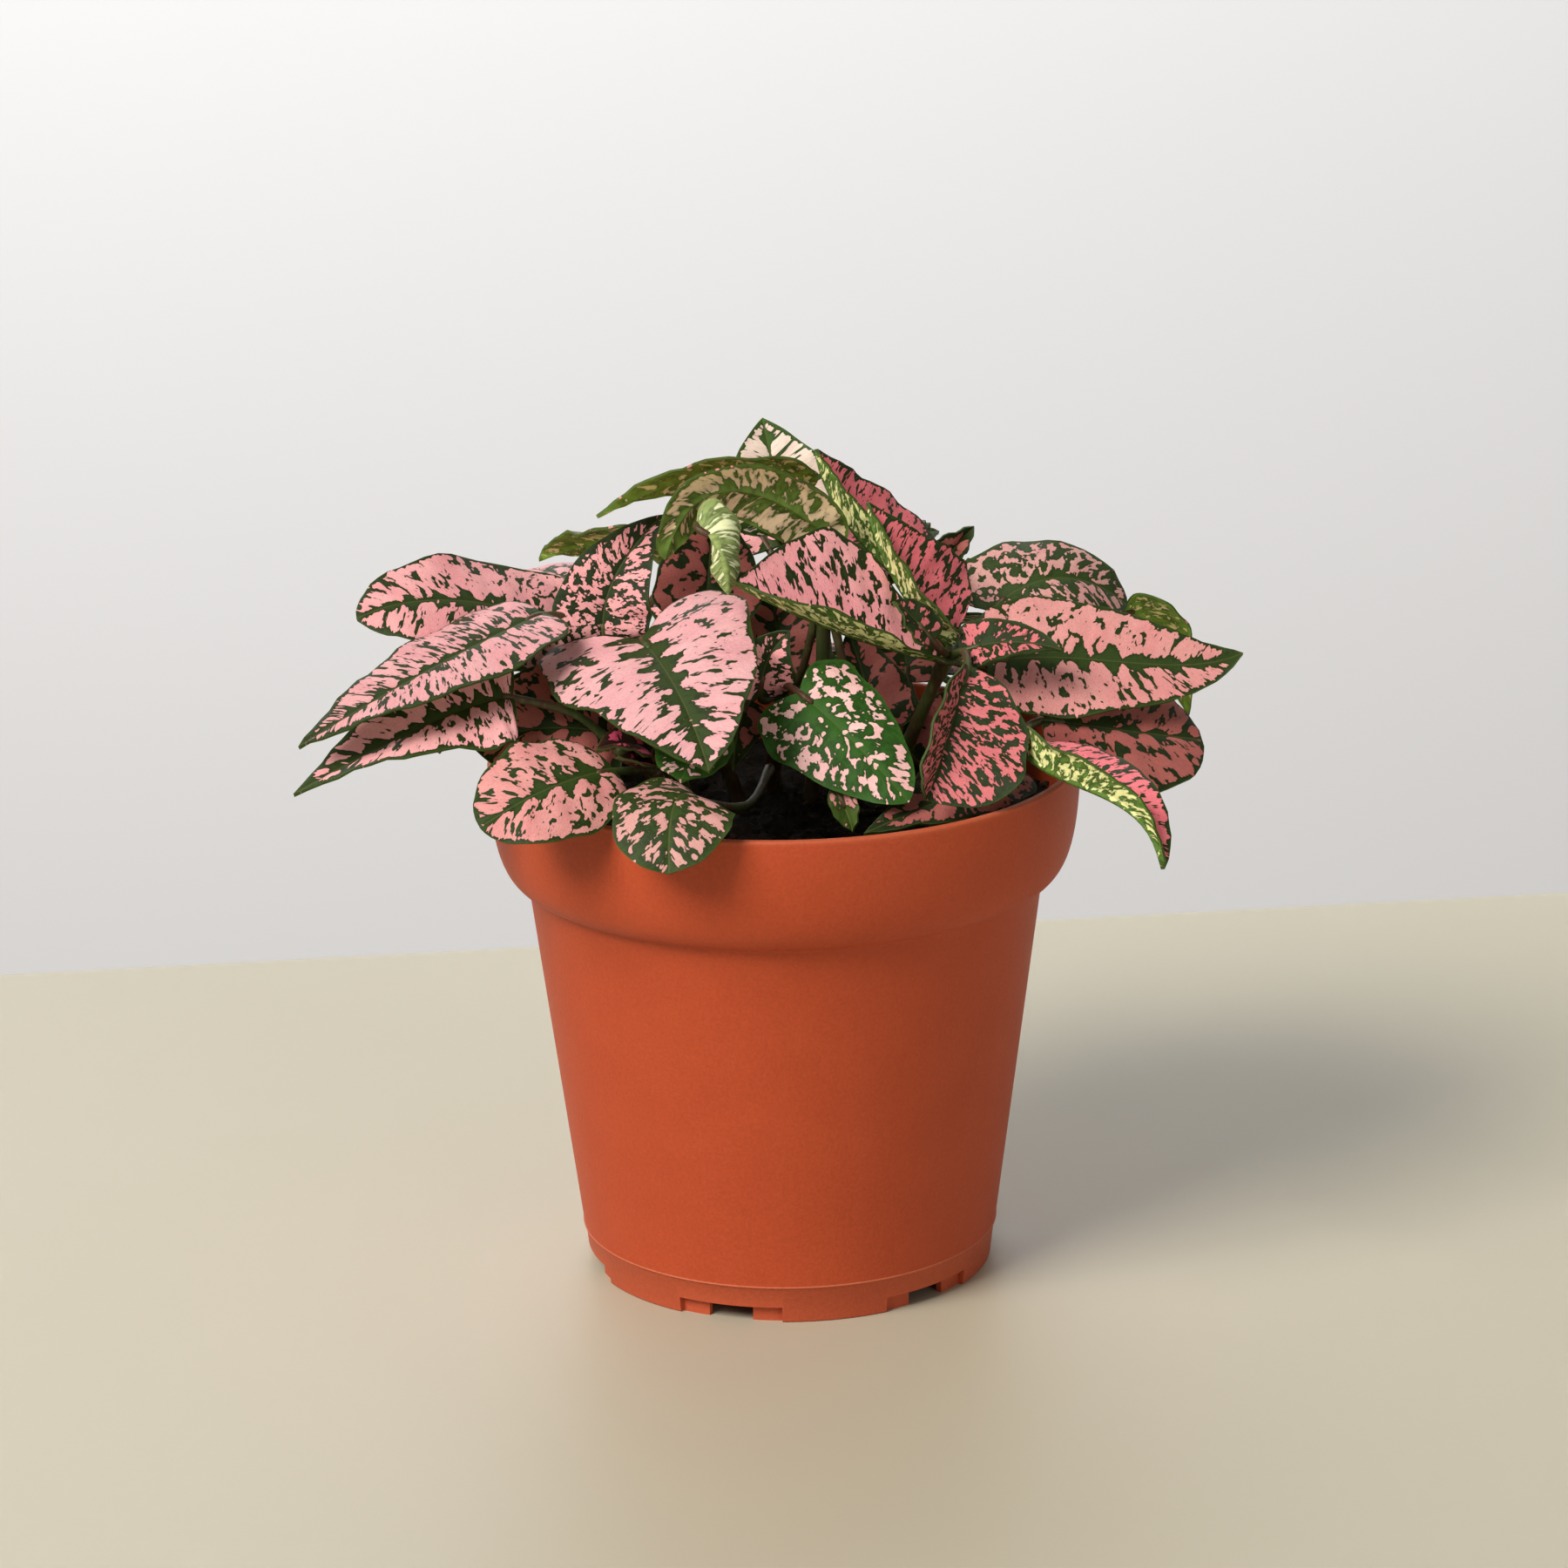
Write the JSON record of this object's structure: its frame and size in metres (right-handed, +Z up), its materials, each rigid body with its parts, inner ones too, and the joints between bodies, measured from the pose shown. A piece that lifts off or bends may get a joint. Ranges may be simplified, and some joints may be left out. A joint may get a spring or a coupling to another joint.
{
  "type": "potted polka dot plant",
  "caption": "Leafy houseplant with pink and dark green spotted leaves, growing in a round terracotta coloured plastic nursery pot.",
  "frame": {"origin": "middle of the pot's foot, on the surface it stands on", "axes": "+Z up along the pot's axis; +X to the right with the plant's fullest side, -Y, turned to the viewer"},
  "size_m": [0.1701, 0.1215, 0.1541],
  "materials": {
    "terracotta_plastic": "matte moulded polypropylene",
    "potting_soil": "damp crumbly peat",
    "variegated_leaf": "soft satin leaf, pink with dark green spots"
  },
  "bodies": {
    "root": {"pot": "terracotta_plastic", "potting_soil": "potting_soil", "leafy_stem_left": "variegated_leaf", "leafy_stem_low_left": "variegated_leaf", "leafy_stem_heart": "variegated_leaf", "leafy_stem_front": "variegated_leaf", "leafy_stem_right": "variegated_leaf", "leafy_stem_low_right": "variegated_leaf", "leafy_stem_top": "variegated_leaf", "leafy_shoot_rim_left": "variegated_leaf", "leafy_stem_back_right": "variegated_leaf", "leafy_stem_back": "variegated_leaf", "leafy_stem_back_left": "variegated_leaf"}
  },
  "joints": []
}
